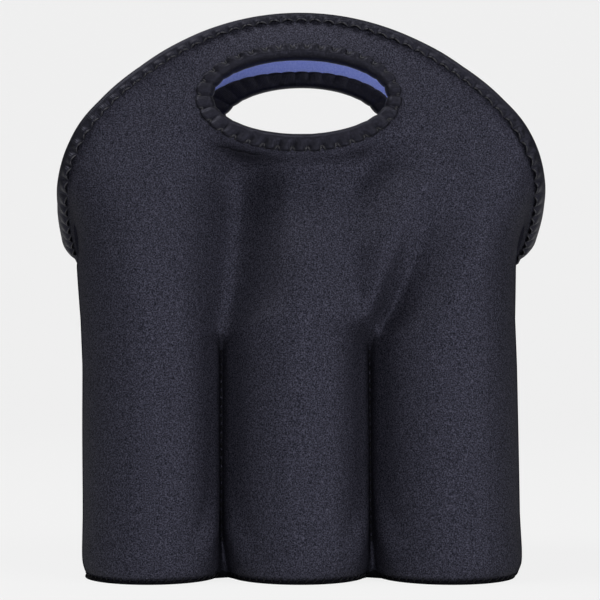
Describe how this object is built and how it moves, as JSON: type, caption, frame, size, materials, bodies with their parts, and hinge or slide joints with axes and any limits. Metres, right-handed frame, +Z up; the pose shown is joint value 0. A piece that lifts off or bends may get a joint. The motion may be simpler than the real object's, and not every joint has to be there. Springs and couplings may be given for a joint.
{
  "type": "six pack carrier",
  "caption": "Soft neoprene bottle carrier: open tote with bulged pockets, an inner divider and arched front and rear flaps with oval handle holes.",
  "frame": {"origin": "middle of the base, on the surface it stands on", "axes": "+Z up, front panel towards -Y, width along X"},
  "size_m": [0.2384, 0.14, 0.2677],
  "materials": {
    "neoprene": "matte knitted jersey on foamed neoprene",
    "lining": "matte blue knitted jersey",
    "binding": "matte stretch tape",
    "thread": "twisted polyester thread"
  },
  "bodies": {
    "pockets": {"base_panel": "neoprene", "centre_divider": "neoprene", "base_seam": "thread", "left_side_seam": "thread", "right_side_seam": "thread", "left_bar_tack": "thread", "right_bar_tack": "thread", "front_pocket_wall": "neoprene", "front_pocket_lining": "lining", "front_left_web": "neoprene", "front_right_web": "neoprene", "front_wing_gussets": "neoprene", "front_rim_ends": "binding", "front_groove_stitching": "thread", "rear_pocket_wall": "neoprene", "rear_pocket_lining": "lining", "rear_left_web": "neoprene", "rear_right_web": "neoprene", "rear_wing_gussets": "neoprene", "rear_rim_ends": "binding", "rear_groove_stitching": "thread"},
    "front_flap": {"front_handle_flap": "neoprene", "front_flap_lining": "lining", "front_rim_binding": "binding", "front_handle_binding": "binding", "front_rim_stitching": "thread", "front_handle_stitching": "thread"},
    "rear_flap": {"rear_handle_flap": "neoprene", "rear_flap_lining": "lining", "rear_rim_binding": "binding", "rear_handle_binding": "binding", "rear_rim_stitching": "thread", "rear_handle_stitching": "thread"}
  },
  "joints": [
    {"name": "front_flap_fold", "type": "hinge", "parent": "pockets", "child": "front_flap", "pos_m": [0, -0.068, 0.15], "axis": [1, 0, 0], "range_deg": [-18, 50], "stiffness_Nm_per_rad": 0.3, "springref_deg": 0.69, "deforming": ["front_wing_gussets", "front_rim_ends"]},
    {"name": "rear_flap_fold", "type": "hinge", "parent": "pockets", "child": "rear_flap", "pos_m": [0, 0.068, 0.15], "axis": [-1, 0, 0], "range_deg": [-18, 50], "stiffness_Nm_per_rad": 0.3, "springref_deg": 0.69, "deforming": ["rear_wing_gussets", "rear_rim_ends"]}
  ]
}
